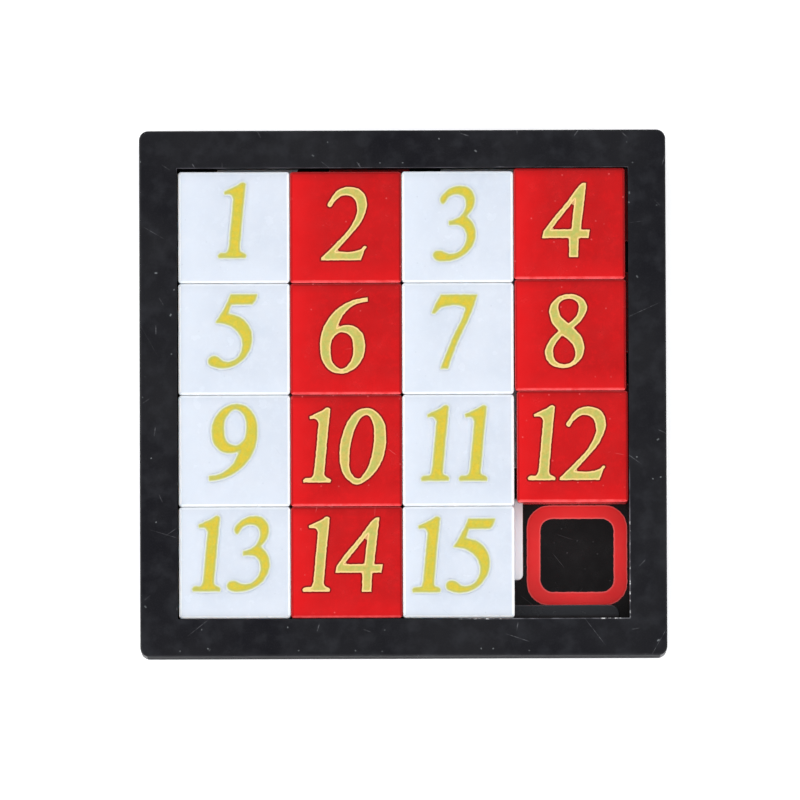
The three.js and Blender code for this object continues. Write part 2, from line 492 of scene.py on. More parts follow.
def frame_plastic():
    """Satin black plastic: clouded, dusty and scratched, with wear, burrs and a painted highlight on its
    lip beside the open cell, and a painted reflection on its top wall.
    """
    make = Finish("satin_black", IOR=1.5)
    make.shader.inputs["Specular IOR Level"].default_value = 0.12
    x, y, z = make.axes()
    clouds = make.noise(0.07, 3.0)
    blotches = make.noise(0.42, 3.0, 0.55)
    grain = make.noise(4.5, 2.0, 0.6)
    color = make.mix(make.between(clouds, 0.36, 0.64), rgb(15, 15, 20), rgb(25, 25, 28))
    color = make.mix(make.between(blotches, 0.46, 0.72, 0.0, 0.45), color, rgb(42, 43, 47))
    color = make.mix(make.between(grain, 0.5, 0.75, 0.0, 0.35), color, rgb(38, 38, 42))
    hairlines = make.math("MAXIMUM", make.marks(0.11, 4.0, 0.12, 0.4), make.marks(0.2, 1.5, 0.2, 0.25))
    hairlines = make.math("MAXIMUM", hairlines, make.marks(0.06, 8.0, 0.1, 0.5))
    broken = make.between(make.noise(1.6, 3.0), 0.4, 0.62, 0.1, 0.6)
    color = make.mix(make.math("MULTIPLY", hairlines, broken), color, rgb(116, 116, 120))
    dust = make.math("MAXIMUM", make.marks(0.16, 0.5, 0.3, 0.25), make.marks(0.31, 0.3, 0.24, 0.2))
    color = make.mix(make.math("MULTIPLY", dust, 0.65), color, rgb(130, 134, 136))
    beside_cell = make.math("MULTIPLY", make.between(x, *LIP_WEAR_AND_HIGHLIGHT_X), make.between(y, *LIP_WEAR_AND_HIGHLIGHT_Y))
    on_lip = make.math("MULTIPLY", make.attribute("edge_round"), make.between(z, *LIP_WEAR_AND_HIGHLIGHT_Z))
    lip_wear_and_painted_highlight = make.math("MULTIPLY", on_lip, beside_cell)
    # Wear and a painted highlight: a lighter band along the lip beside the open cell.
    rubbed_and_painted_highlight = make.math("MULTIPLY", make.between(make.noise(0.5, 2.0), 0.4, 0.62, 0.25, 1.0), lip_wear_and_painted_highlight)
    color = make.mix(rubbed_and_painted_highlight, color, rgb(100, 100, 105))
    burrs = make.math("MULTIPLY", make.between(make.noise(0.16, 1.0), 0.5, 0.56), lip_wear_and_painted_highlight)
    burrs = make.math("MULTIPLY", burrs, make.between(make.noise(1.3, 3.0), 0.54, 0.62))
    color = make.mix(burrs, color, rgb(215, 215, 215))
    # Painted reflection: the upper part of the wall above the top row, lighter in patches.
    painted_wall_reflection = make.math("MULTIPLY", make.attribute("wall"), make.between(y, *WALL_REFLECTION_Y))
    painted_wall_reflection = make.math("MULTIPLY", painted_wall_reflection, make.between(z, *WALL_REFLECTION_Z))
    painted_wall_reflection = make.math("MULTIPLY", painted_wall_reflection, make.between(make.noise(0.3, 2.0), 0.4, 0.6, 0.3, 1.0))
    color = make.mix(painted_wall_reflection, color, rgb(96, 93, 100))
    rough = make.between(make.noise(0.35, 4.0), 0.3, 0.7, 0.36, 0.48)
    rough = make.math("MAXIMUM", rough, make.between(make.attribute("side"), 0.0, 1.0, 0.0, 0.8))
    relief = make.bump(grain, 0.005)
    relief = make.bump(hairlines, -0.006, relief)
    return make.finish(color, rough, relief)


def tray_plastic():
    """The same black plastic, glossy from a smooth mould face, with a few scuffs, painted light on the
    tongue's top, and painted shadow of the frame's rim where the tongue runs under it.
    """
    make = Finish("polished_black", IOR=1.5)
    make.shader.inputs["Specular IOR Level"].default_value = 0.35
    patches = make.noise(0.15, 3.0)
    color = make.mix(make.between(patches, 0.35, 0.65), rgb(19, 16, 17), rgb(27, 24, 25))
    scuffs = make.math("MAXIMUM", make.marks(0.2, 3.0, 0.1, 0.5), make.marks(0.5, 0.25, 0.25, 0.3))
    color = make.mix(make.math("MULTIPLY", scuffs, 0.3), color, rgb(110, 110, 112))
    x, y = make.axes()[:2]
    # Painted light on the tongue's top, and painted shadow of the frame's rim where the tongue runs under
    # it.
    outside_painted_rim_shadow = make.between(make.math("MINIMUM", x, y), *TONGUE_RIM_SHADOW)
    tongue = make.math("MULTIPLY", make.attribute("tongue"), outside_painted_rim_shadow)
    color = make.mix(make.between(tongue, 0, 1, 0, 0.75), color, rgb(52, 54, 58))
    rough = make.between(make.noise(0.5, 4.0), 0.3, 0.7, 0.16, 0.28)
    relief = make.bump(make.noise(1.5, 3.0), 0.003)
    return make.finish(color, rough, relief)


def tile_plastic(name, look):
    """Glossy, slightly translucent tile plastic: faint flow marks and specks, with painted light towards
    the left and lower edges, painted shade at the top, a painted highlight and shade on the top edge, and
    the locking plates, deep in their slots, painted lighter on white tiles and darker on red ones.
    """
    make = Finish(name, IOR=1.49)
    make.shader.inputs["Specular IOR Level"].default_value = 0.4
    make.shader.inputs["Subsurface Weight"].default_value = look["translucent"]
    make.shader.inputs["Subsurface Radius"].default_value = (1.0, 0.9, 0.85)
    make.shader.inputs["Subsurface Scale"].default_value = 1.2 * MM
    flow = make.noise(0.12, 3.0, 0.6)
    color = make.mix(make.between(flow, 0.35, 0.65), *look["shades"])
    mottle = make.between(make.noise(1.1, 4.0, 0.65), 0.35, 0.65, -0.5, 0.5)
    color = make.mix(make.between(mottle, 0.0, 0.5, 0.0, look["mottle"]), color, look["lit"])
    # Painted light: the tile turns lighter towards its left and lower edges, as if lit from there.
    left = make.between(make.attribute("from_left"), 0.3, 5.5, look["lit_share"], 0.0)
    foot = make.between(make.attribute("from_bottom"), 0.3, 3.5, look["lit_share"] * 0.7, 0.0)
    color = make.mix(make.math("MAXIMUM", left, foot), color, look["lit"])
    # Painted shade: the tile turns darker towards its top edge.
    head = make.between(make.attribute("from_bottom"), TILE - 1.5, TILE - 0.1, 0.0, look["painted_shade_top_share"])
    color = make.mix(head, color, look["painted_shade"])
    # Painted highlight and shade on the slab's top edge: above zero towards the rim colour, broken by
    # noise, below zero towards the painted shade.
    edge = make.attribute("rim")
    color = make.mix(make.between(edge, -1.0, 0.0, 1.0, 0.0), color, look["painted_shade"])
    broken = make.between(make.noise(0.8, 3.0), 0.35, 0.6, look["painted_highlight_low"], 1.0)
    color = make.mix(make.math("MULTIPLY", make.between(edge, 0.0, 1.0), broken), color, look["rim"])
    specks = make.math("MAXIMUM", make.marks(0.3, 0.28, 0.28, 0.35), make.marks(0.12, 1.6, 0.1, 0.25))
    color = make.mix(make.math("MULTIPLY", specks, 0.45), color, look["speck"])
    # Painted light and shade on the locking plates, deep in their slots: lighter on white tiles, darker on
    # red ones.
    color = make.mix(make.attribute("deep"), color, look["plate"])
    rough = make.between(make.noise(0.4, 4.0), 0.3, 0.7, 0.18, 0.28)
    relief = make.bump(make.noise(0.35, 2.0), 0.008)
    relief = make.bump(make.noise(3.0, 2.0), 0.0012, relief)
    return make.finish(color, rough, relief)


# Besides each plastic's own tones, specks and translucency, a look holds a lighter tone (lit) for the
# mottle and for painted light towards the left and lower edges, painted shade for the top and for shaded
# edges, a painted highlight for the top edge with its share on each side, and the locking plates' colour,
# painted lighter on white tiles and darker on red ones.
WHITE_LOOK = {
    "shades": [rgb(208, 213, 221), rgb(202, 208, 217)], "lit": rgb(214, 220, 228), "lit_share": 0.6,
    "mottle": 0.3, "painted_shade": rgb(190, 196, 206), "painted_shade_top_share": 0.3, "rim": rgb(254, 254, 254),
    "painted_highlight_low": 0.8, "speck": rgb(184, 190, 200), "plate": rgb(248, 240, 244),
    "translucent": 1.0, "painted_edge_shares": (1.0, 0.8, 0.7, 0.2),
}
RED_LOOK = {
    "shades": [rgb(186, 16, 19), rgb(174, 14, 17)], "lit": rgb(208, 18, 22), "lit_share": 0.9,
    "mottle": 0.3, "painted_shade": rgb(120, 5, 8), "painted_shade_top_share": 0.35, "rim": rgb(236, 78, 80),
    "painted_highlight_low": 0.45, "speck": rgb(236, 110, 110), "plate": rgb(168, 12, 16),
    "translucent": 0.15, "painted_edge_shares": (-0.5, -0.7, 1.0, -0.6),
}


def gold_ink(name, look):
    """Gold ink, patchy, with another tone along its edge: a painted highlight on red tiles, duller on
    white ones. Past its outline it turns to a halo: a faint tint of spread ink on white tiles, and painted
    shade on red ones.
    """
    make = Finish(name, IOR=1.45)
    depth = make.attribute("ink_depth")
    make.feed(make.shader.inputs["Metallic"], make.between(depth, 0.0, 0.04, 0.0, 0.25))
    broad = make.noise(1.3, 3.0, 0.6)
    flakes = make.noise(3.0, 3.0, 0.65)
    color = make.mix(make.between(broad, 0.4, 0.6), *look["tones"])
    color = make.mix(make.between(flakes, 0.55, 0.8, 0.0, 0.5), color, look["bright"])
    color = make.mix(make.between(flakes, 0.45, 0.25, 0.0, 0.5), color, look["deep"])
    # Edge tone: a painted highlight on red tiles, a duller tone on white ones.
    color = make.mix(make.between(depth, 0.3, 0.12, 0.0, look["edge_tone_and_highlight_share"]), color, look["rim"])
    # The halo past the outline: painted shade on red tiles, a faint tint of spread ink on white ones.
    near = make.between(depth, -INK_SPREAD, look["halo_full"])
    halo = make.mix(near, look["halo_far"], look["halo_near"])
    color = make.mix(make.between(depth, 0.02, -0.02), color, halo)
    on_ink = make.between(depth, 0.0, 0.04, 0.6, 1.0)
    rough = make.math("MULTIPLY", make.between(flakes, 0.3, 0.7, 0.3, 0.45), on_ink)
    return make.finish(color, rough, make.bump(flakes, 0.004))


GOLD_ON_WHITE = {
    "tones": [rgb(198, 188, 66), rgb(214, 188, 56)], "bright": rgb(218, 206, 82),
    "deep": rgb(190, 168, 50), "rim": rgb(178, 180, 100), "edge_tone_and_highlight_share": 0.8,
    "halo_far": rgb(208, 213, 219), "halo_near": rgb(188, 191, 132), "halo_full": -0.03,
}
# On red tiles the edge colour is a painted highlight, and the halo is painted shade round the numbers.
GOLD_ON_RED = {
    "tones": [rgb(178, 182, 94), rgb(200, 180, 92)], "bright": rgb(212, 198, 112),
    "deep": rgb(172, 160, 72), "rim": rgb(244, 206, 138), "edge_tone_and_highlight_share": 0.95,
    "halo_far": rgb(160, 13, 15), "halo_near": rgb(112, 7, 6), "halo_full": -0.15,
}


def red_ink():
    """Opaque red ink, with a painted highlight that makes it paler along its edge."""
    make = Finish("red_ink", IOR=1.45)
    color = make.mix(make.between(make.noise(0.8, 3.0), 0.35, 0.65), rgb(255, 46, 46), rgb(255, 40, 43))
    # Painted highlight along the ink's edge.
    edge = make.between(make.attribute("ink_depth"), 0.2, 0.05, 0.0, 0.6)
    color = make.mix(edge, color, rgb(255, 120, 118))
    rough = make.between(make.noise(1.5, 3.0), 0.3, 0.7, 0.35, 0.5)
    return make.finish(color, rough, make.bump(make.noise(3.0, 2.0), 0.004))


def zinc_steel():
    """Zinc plated screw steel, grainy, with bluish and yellowish patches."""
    make = Finish("zinc_steel", Metallic=1.0)
    patches = make.noise(1.2, 3.0)
    color = make.mix(make.between(patches, 0.35, 0.65), rgb(176, 180, 186), rgb(196, 194, 186))
    rough = make.between(make.noise(5.0, 3.0), 0.3, 0.7, 0.24, 0.42)
    return make.finish(color, rough, make.bump(make.noise(9.0, 2.0), 0.004))


# ---- Frame and tray ----

def screw_centres():
    return [(x * SCREW_REACH, y * SCREW_REACH) for x, y in [(-1, -1), (1, -1), (1, 1), (-1, 1)]]


def frame_ring(bm):
    low, high = (corner.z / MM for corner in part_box("bezel_frame"))
    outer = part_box("bezel_frame")[1].x / MM
    profile = filleted([
        (outer, low, FRAME_FOOT_R),
        (outer, high, FRAME_TOP_R),
        (OPENING_HALF + LIP_FLAT, high, 0),
        (OPENING_HALF, high, LIP_R),
        (OPENING_HALF, RIM_UNDERSIDE, RIM_UNDER_R),
        (REBATE_HALF, RIM_UNDERSIDE, REBATE_R),
        (REBATE_HALF, TRAY_TOP_GAP_Z, REBATE_R),
        (SKIRT_HALF, TRAY_TOP_GAP_Z, REBATE_R),
        (SKIRT_HALF, low, FRAME_FOOT_R),
    ], closed=True)
    loops = []
    for half, height in profile:
        radius = max(INNER_CORNER_R, FRAME_CORNER_R - (outer - half))
        loops.append(square_loop((0, 0), half, radius, height))
    loft(bm, loops, closed=True)


def pilot_holes(bm):
    mouth = PILOT_R + PILOT_FLARE
    profile = [(mouth, PILOT_LOW), (mouth, FLARE_HIGH), (PILOT_R, FLARE_END), (PILOT_R, PILOT_TOP)]
    for x, y in screw_centres():
        revolve(bm, x, y, profile)


def on_edge_round(point):
    """1 on the rounded edge at the top of the opening."""
    reach = max(abs(point.x), abs(point.y))
    return 1.0 if point.z > EDGE_BAND_LOW and reach < OPENING_HALF + EDGE_BAND_REACH else 0.0


def on_wall(point):
    """1 on the walls of the opening."""
    reach = max(abs(point.x), abs(point.y))
    level = RIM_UNDERSIDE - RIM_UNDER_R < point.z < WALL_BAND_TOP
    return 1.0 if level and reach < OPENING_HALF + WALL_BAND_REACH else 0.0


def on_side(point):
    """1 on the outer sides."""
    reach = max(abs(point.x), abs(point.y))
    return 1.0 if point.z < SIDE_BAND_TOP and reach > SIDE_BAND_REACH else 0.0


def tray_plate(bm):
    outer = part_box("base_plate")[1].x / MM
    profile = filleted([
        (PANEL_HALF, PANEL_DEPTH, 0),
        (PANEL_HALF, 0, PANEL_EDGE_R),
        (outer, 0, TRAY_FOOT_R),
        (outer, FLOOR_TOP, TRAY_TOP_R),
        (outer - TRAY_TOP_INSET, FLOOR_TOP, 0),
    ])
    loops = []
    for half, height in profile:
        inside = half < PANEL_HALF + 2
        radius = PANEL_CORNER_R if inside else max(0.2, TRAY_CORNER_R - (outer - half))
        loops.append(square_loop((0, 0), half, radius, height))
    loft(bm, loops)


def rail(bm):
    """The upright behind both tongues: an L along the left and bottom walls."""
    far = OPENING_HALF
    outline = [
        (-RAIL_BACK, -RAIL_BACK), (far, -RAIL_BACK), (far, -RAIL_FACE),
        (-RAIL_FACE, -RAIL_FACE), (-RAIL_FACE, far), (-RAIL_BACK, far),
    ]
    prism(bm, outline, FLOOR_TOP - RAIL_SINK, PLATE_HIGH - RAIL_TOP_GAP, RAIL_BEVEL)


def tongue(bm):
    """The tongues that hold the outer tiles down, in one L with rounded far ends."""
    root = (RAIL_FACE + RAIL_BACK) / 2
    turn = TONGUE_END - TONGUE_END_R
    top = -TONGUE_TIP - TONGUE_END_R
    outline = [(-root, -root), (TONGUE_END, -root)]
    outline += arc(turn, top, TONGUE_END_R, 0, 90, 6)
    outline += [(-TONGUE_TIP, -TONGUE_TIP)]
    outline += arc(top, turn, TONGUE_END_R, 0, 90, 6)
    outline += [(-root, TONGUE_END)]
    prism(bm, outline, PLATE_LOW, PLATE_HIGH, TONGUE_BEVEL)


def counterbores(bm):
    profile = [
        (COUNTERBORE_R + CHAMFER + CUT_PAST, -CUT_PAST), (COUNTERBORE_R, CHAMFER),
        (COUNTERBORE_R, COUNTERBORE_DEPTH), (CLEARANCE_R, COUNTERBORE_DEPTH),
        (CLEARANCE_R, FLOOR_TOP + CUT_PAST),
    ]
    for x, y in screw_centres():
        revolve(bm, x, y, profile)


def build_frame():
    ring = boolean(solid(frame_ring), solid(pilot_holes), "DIFFERENCE")
    paint(ring, "edge_round", on_edge_round)
    paint(ring, "wall", on_wall)
    paint(ring, "side", on_side)
    piece("bezel_shell", ring, frame_plastic(), "frame", ["bezel_frame"])


def build_tray():
    tray = boolean(solid(tray_plate), solid(rail), "UNION")
    tray = boolean(tray, solid(tongue), "UNION")
    tray = boolean(tray, solid(counterbores), "DIFFERENCE")
    paint(tray, "tongue", lambda point: 1.0 if point.z > PLATE_LOW - 0.01 else 0.0)
    piece("base_tray", tray, tray_plastic(), "frame", ["base_plate"])


# ---- Tiles ----

def tile_solid(bm, left, bottom):
    """One tile from its lower left corner: foot, neck, locking plate, neck and slab."""
    low, high = (corner.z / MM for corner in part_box("tile_01"))

    def loops(start, size, corner, profile):
        """A square layer's outlines, from (shift from its side, height, edge radius) points."""
        middle = (left + start + size / 2, bottom + start + size / 2)
        made = []
        for shift, height in filleted(profile):
            radius = max(LAYER_CORNER_R, corner + shift)
            made.append(square_loop(middle, size / 2 + shift, radius, height))
        return made

    stack = loops(0, TILE, TILE_CORNER_R, [
        (-FOOT_LOW_INSET, low, 0), (0, low, FOOT_EDGE_R),
        (0, GROOVE_LOW, FOOT_TOP_R), (-FOOT_TOP_INSET, GROOVE_LOW, 0),
    ])
    stack += loops(NECK_START, NECK_SIZE, TILE_CORNER_R, [(0, GROOVE_LOW, 0), (0, PLATE_LOW, 0)])
    stack += loops(PLATE_START, PLATE_SIZE, PLATE_CORNER_R, [
        (-PLATE_INSET, PLATE_LOW, 0), (0, PLATE_LOW, PLATE_LOWER_R),
        (0, PLATE_HIGH, PLATE_UPPER_R), (-PLATE_INSET, PLATE_HIGH, 0),
    ])
    stack += loops(NECK_START, NECK_SIZE, TILE_CORNER_R, [(0, PLATE_HIGH, 0), (0, GROOVE_HIGH, 0)])
    slab = [(-SLAB_INSET, GROOVE_HIGH, 0), (0, GROOVE_HIGH, SLAB_LOWER_R), (0, high, TILE_EDGE_R)]
    slab += [(-ring, high, 0) for ring in SLAB_TOP_RINGS]
    stack += loops(0, TILE, TILE_CORNER_R, slab)
    loft(bm, stack)


def tile_rim(point, left, bottom, shares):
    """Painted light on the slab's top edge, from the shares for its left, right, lower and upper
    sides: from -1, full painted shade, to 1, full painted highlight.
    """
    gaps = (point.x - left, left + TILE - point.x, point.y - bottom, bottom + TILE - point.y)
    nearest = min(gaps)
    if nearest > TILE_RIM + RIM_SLACK or point.z < GROOVE_HIGH + RIM_BAND_RISE:
        return 0.0
    return shares[gaps.index(nearest)]


# ---- Printing ----

def smooth_outline(knots, spacing):
    """A closed curve through listed knots, as even points. A knot (x, y, 1) is a corner."""
    points = []
    count = len(knots)
    for i in range(count):
        before, here, after, beyond = (Vector(knots[(i + k) % count][:2]) for k in (-1, 0, 1, 2))
        chord = after - here
        leave = slope(before, here, after) * chord.length
        arrive = slope(here, after, beyond) * chord.length
        if len(knots[i]) == 3:
            leave = chord * 1.5 - arrive * 0.5
        if len(knots[(i + 1) % count]) == 3:
            arrive = chord * 1.5 - leave * 0.5
        if len(knots[i]) == 3 and len(knots[(i + 1) % count]) == 3:
            leave = arrive = chord
        steps = max(1, round(chord.length / spacing))
        for step in range(steps):
            t = step / steps
            point = here * (2 * t**3 - 3 * t**2 + 1) + leave * (t**3 - 2 * t**2 + t)
            point += after * (3 * t**2 - 2 * t**3) + arrive * (t**3 - t**2)
            points.append(point)
    return points


def slope(before, here, after):
    """The direction of a smooth curve at a knot, weighted towards the nearer neighbour."""
    back = here - before
    on = after - here
    blended = back.normalized() * on.length + on.normalized() * back.length
    return blended.normalized()


def inside(point, outlines):
    """True where a point lies in the ink: inside an odd number of outlines."""
    crossings = 0
    for outline in outlines:
        for start, end in zip(outline, outline[1:] + outline[:1]):
            if (start.y > point.y) != (end.y > point.y):
                share = (point.y - start.y) / (end.y - start.y)
                if start.x + share * (end.x - start.x) > point.x:
                    crossings += 1
    return crossings % 2 == 1


def spread_out(outlines, spread, depth_of):
    """Outlines moved out of the ink by spread, without the points that meet another part of it."""
    moved = []
    for outline in outlines:
        points = []
        for i, here in enumerate(outline):
            along = (outline[(i + 1) % len(outline)] - outline[i - 1]).normalized()
            side = Vector((-along.y, along.x)) * spread
            outside = -spread * CLEAR_SHARE
            points += [here + shift for shift in (side, -side) if depth_of(here + shift) < outside]
        moved.append(points)
    return moved


def print_ink(bm, outlines, base, thickness, rim, spread):
    """A closed layer of ink: flat underneath, rounded down to its outline over rim millimetres,
    with a film that goes spread millimetres beyond it."""
    layers = bm.verts.layers.float
    depth_layer = layers.get("ink_depth") or layers.new("ink_depth")
    border = [point for outline in outlines for point in outline]
    fine = []
    for outline in outlines:
        for start, end in zip(outline, outline[1:] + outline[:1]):
            fine += [start.lerp(end, step / 5) for step in range(5)]
    tree = kdtree.KDTree(len(fine))
    for i, point in enumerate(fine):
        tree.insert(point.to_3d(), i)
    tree.balance()

    def depth_of(point):
        """How far a point is inside the ink's outline, or below zero outside it."""
        distance = tree.find(point.to_3d())[2]
        return distance if inside(point, outlines) else -distance

    film = spread_out(outlines, spread, depth_of)
    places, edges = [], []
    for outline in outlines + film:
        first = len(places)
        places += outline
        edges += [(first + i, first + (i + 1) % len(outline)) for i in range(len(outline))]
    for outline in outlines:
        for i, here in enumerate(outline):
            along = (outline[(i + 1) % len(outline)] - outline[i - 1]).normalized()
            side = Vector((-along.y, along.x)) * rim
            within = rim * CLEAR_SHARE
            places += [here + shift for shift in (side, -side) if depth_of(here + shift) > within]
    step = rim * GRID_STEP
    low_x, high_x = min(p.x for p in border), max(p.x for p in border)
    low_y, high_y = min(p.y for p in border), max(p.y for p in border)
    for row in range(int((high_y - low_y) / step) + 1):
        for column in range(int((high_x - low_x) / step) + 1):
            shift = step / 2 if row % 2 else 0
            point = Vector((low_x + column * step + shift, low_y + row * step))
            if depth_of(point) > rim * GRID_MARGIN:
                places.append(point)
    made = geometry.delaunay_2d_cdt(places, edges, [], 0, 1e-6)
    corners, faces = made[0], made[2]
    top, bottom = [], []
    for point in corners:
        depth = depth_of(point)
        share = min(1.0, max(0.0, depth / rim))
        rise = INK_FILM + (thickness - INK_FILM) * math.sqrt(share)
        vertex = bm.verts.new((point.x, point.y, base + rise))
        vertex[depth_layer] = depth
        top.append(vertex)
        bottom.append(bm.verts.new((point.x, point.y, base - thickness)))
    kept = [f for f in faces if inside(sum((corners[i] for i in f), Vector((0, 0))) / len(f), film)]
    sides = set()
    for face in kept:
        bm.faces.new([top[i] for i in face])
        bm.faces.new([bottom[i] for i in reversed(face)])
        sides.update(zip(face, face[1:] + face[:1]))
    for a, b in sorted(sides):
        if (b, a) not in sides:
            bm.faces.new((top[b], top[a], bottom[a], bottom[b]))
    for vertex in [v for v in bm.verts if not v.link_faces]:
        bm.verts.remove(vertex)


# Numerals, in millimetres from the left end of their baseline. (x, y, 1) is a corner.
ZERO = [
    [(4.4, 11.3), (6.6, 9.6), (7.1, 6.9), (5.95, 2.35), (4.35, 0.55), (2.6, -0.3), (1.05, 0.7),
     (0.05, 4.55), (0.4, 6.9), (1.45, 9.5), (2.7, 10.9)],
    [(4.2, 10.3), (5.1, 9.1), (5.3, 7.2), (4.95, 4.2), (4.1, 1.9), (2.75, 0.6), (1.8, 1.4),
     (1.5, 3.6), (1.85, 6.4), (2.7, 8.9), (3.45, 9.95)],
]
ONE = [
    [(0.1, 0.05, 1), (4.1, 0.05, 1), (4.2, 0.35), (3.9, 0.65), (3.4, 0.9), (3.25, 1.9, 1), (3.6, 5.8),
     (4.15, 11.2, 1), (3.85, 11.4), (2.9, 10.95), (1.0, 10.05, 1), (1.05, 9.7, 1), (2.0, 9.65),
     (2.38, 9.0, 1), (1.7, 1.8, 1), (1.3, 0.8), (0.2, 0.6), (0.0, 0.35)],
]
TWO = [
    [(0.1, 0.05, 1), (6.15, 0.05, 1), (6.75, 1.65), (7.0, 2.15), (6.75, 2.2), (6.25, 1.75), (5.6, 1.5),
     (2.35, 1.4, 1), (4.4, 3.65), (6.4, 6.2), (7.1, 8.8), (6.55, 10.35), (4.5, 11.2), (2.6, 10.6),
     (1.6, 9.3), (1.2, 8.3), (1.45, 8.15), (2.15, 8.95), (3.65, 9.95), (5.05, 9.55), (5.65, 8.0),
     (4.75, 5.3), (2.5, 2.7), (0.15, 0.4, 1)],
]
THREE = [
    [(1.2, 9.2), (1.9, 10.4), (3.6, 11.3), (5.3, 11.1), (6.25, 9.9), (6.2, 8.6), (5.0, 6.75, 1),
     (6.2, 5.3), (6.4, 4.0), (5.4, 1.6), (3.2, 0.25), (1.6, 0.0), (0.4, 0.25), (0.05, 0.8), (0.4, 1.4),
     (0.9, 1.5), (2.5, 1.0), (3.7, 1.2), (4.9, 2.5), (5.15, 4.0), (4.5, 5.2), (2.5, 5.5, 1),
     (2.5, 6.0, 1), (4.4, 6.95), (5.1, 8.6), (4.8, 9.7), (3.6, 10.2), (2.4, 9.8), (1.4, 8.8)],
]
FOUR = [
    [(0.05, 2.92, 1), (0.2, 3.7), (0.9, 4.8), (3.85, 8.4), (5.9, 11.0), (6.2, 11.25), (6.75, 11.25, 1),
     (5.9, 4.15, 1), (7.25, 4.15, 1), (7.05, 2.92, 1), (5.6, 2.92, 1), (5.45, 0.0, 1), (4.1, 0.0, 1),
     (4.15, 2.92, 1)],
    [(1.35, 4.2, 1), (4.5, 4.2, 1), (5.0, 8.8, 1)],
]
FIVE = [
    [(3.4, 11.1, 1), (7.35, 11.1, 1), (7.05, 10.2), (6.6, 9.7, 1), (3.4, 9.65, 1), (2.9, 8.15, 1),
     (5.0, 7.45), (6.35, 5.7), (6.4, 3.4), (4.9, 1.0), (2.65, 0.0), (1.1, 0.1), (0.1, 0.6), (0.0, 1.2),
     (0.45, 1.65), (1.0, 1.7), (2.5, 0.85), (4.1, 1.2), (5.1, 2.7), (4.95, 4.7), (3.5, 6.3),
     (1.15, 6.9, 1), (2.45, 9.0)],
]
SIX = [
    [(7.2, 11.55, 1), (4.9, 11.1), (2.5, 9.7), (0.6, 7.15), (0.0, 4.3), (0.5, 1.6), (1.6, 0.4),
     (3.2, 0.0), (4.9, 0.55), (6.5, 2.5), (6.8, 4.3), (6.3, 6.2), (5.2, 7.15), (3.9, 7.35),
     (2.6, 7.0, 1), (3.8, 9.3), (5.2, 10.45), (7.25, 10.95, 1)],
    [(3.2, 6.3), (4.5, 5.8), (5.05, 3.9), (4.6, 1.8), (3.2, 0.7), (2.0, 1.5), (1.55, 3.6), (2.0, 5.5)],
]
SEVEN = [
    [(1.35, 11.15, 1), (6.8, 11.15, 1), (5.75, 8.2), (4.0, 4.55), (2.3, 0.0, 1), (1.3, 0.0, 1),
     (3.1, 4.55), (4.8, 8.2), (5.0, 9.2), (4.5, 9.5), (2.1, 9.5), (1.2, 9.25), (0.65, 8.7), (0.35, 8.4, 1),
     (0.0, 8.4, 1), (0.5, 9.6)],
]
EIGHT = [
    [(4.2, 11.3), (5.7, 10.75), (6.5, 9.3), (5.9, 7.75), (4.4, 6.2, 1), (5.8, 4.4), (6.0, 2.6),
     (5.1, 1.0), (2.9, 0.1), (0.8, 0.8), (0.1, 2.3), (0.7, 4.05), (2.25, 5.7, 1), (1.1, 7.25),
     (0.85, 9.2), (1.8, 10.6), (3.0, 11.2)],
    [(3.8, 10.65), (5.05, 10.05), (5.1, 8.4), (3.7, 6.85, 1), (2.3, 8.4), (2.3, 9.9)],
    [(2.7, 5.05, 1), (4.4, 3.5), (4.7, 2.0), (3.95, 0.85), (2.9, 0.65), (1.65, 1.2), (1.3, 2.6)],
]
NINE = [[(7.25 - x, 11.55 - y, *mark) for x, y, *mark in outline] for outline in SIX]
DIGITS = [ZERO, ONE, TWO, THREE, FOUR, FIVE, SIX, SEVEN, EIGHT, NINE]

# Where each number is printed: the left of each digit, then the baseline, from the tile's corner.
PRINTED = {
    1: ([6.1], 3.85), 2: ([4.6], 3.4), 3: ([4.75], 3.3), 4: ([4.3], 3.35),
    5: ([4.6], 4.15), 6: ([4.55], 3.2), 7: ([4.6], 3.95), 8: ([4.5], 3.35),
    9: ([4.65], 4.0), 10: ([1.9, 7.4], 3.6), 11: ([2.85, 8.6], 3.85), 12: ([1.65, 6.4], 3.3),
    13: ([2.05, 7.3], 4.15), 14: ([1.75, 6.7], 4.0), 15: ([1.45, 6.6], 3.9),
}


def numeral(bm, number, left, bottom, height):
    """The ink of one tile's number."""
    starts, baseline = PRINTED[number]
    for start, digit in zip(starts, str(number)):
        corner = Vector((left + start, bottom + baseline))
        outlines = []
        for knots in DIGITS[int(digit)]:
            outline = [corner + point for point in smooth_outline(knots, INK_SPACING)]
            outlines.append([rough_edge(point) for point in outline])
        print_ink(bm, outlines, height, INK_HEIGHT, INK_ROUND, INK_SPREAD)


def rough_edge(point):
    """Screen printing leaves an edge that wanders by a few hundredths of a millimetre."""
    shift = noise.noise_vector((point.x * EDGE_WANDER_SCALE, point.y * EDGE_WANDER_SCALE, 0.0))
    return point + Vector((shift.x, shift.y)) * EDGE_WANDER


def floor_outline(bm):
    """A plain rounded square outline, printed where the open cell shows the floor."""
    outlines = []
    for half, radius in FLOOR_PRINT_EDGES:
        loop = square_loop(FLOOR_PRINT_CENTRE, half, radius, 0)
        points = []
        for start, end in zip(loop, loop[1:] + loop[:1]):
            steps = max(1, round((end - start).length / FLOOR_PRINT_SPACING))
            points += [start.lerp(end, step / steps).to_2d() for step in range(steps)]
        outlines.append([rough_edge(point) for point in points])
    print_ink(bm, outlines, FLOOR_TOP, INK_HEIGHT, INK_ROUND, FLOOR_PRINT_SPREAD)


def build_floor_print():
    ink = solid(floor_outline)
    piece("floor_print", ink, red_ink(), "frame")


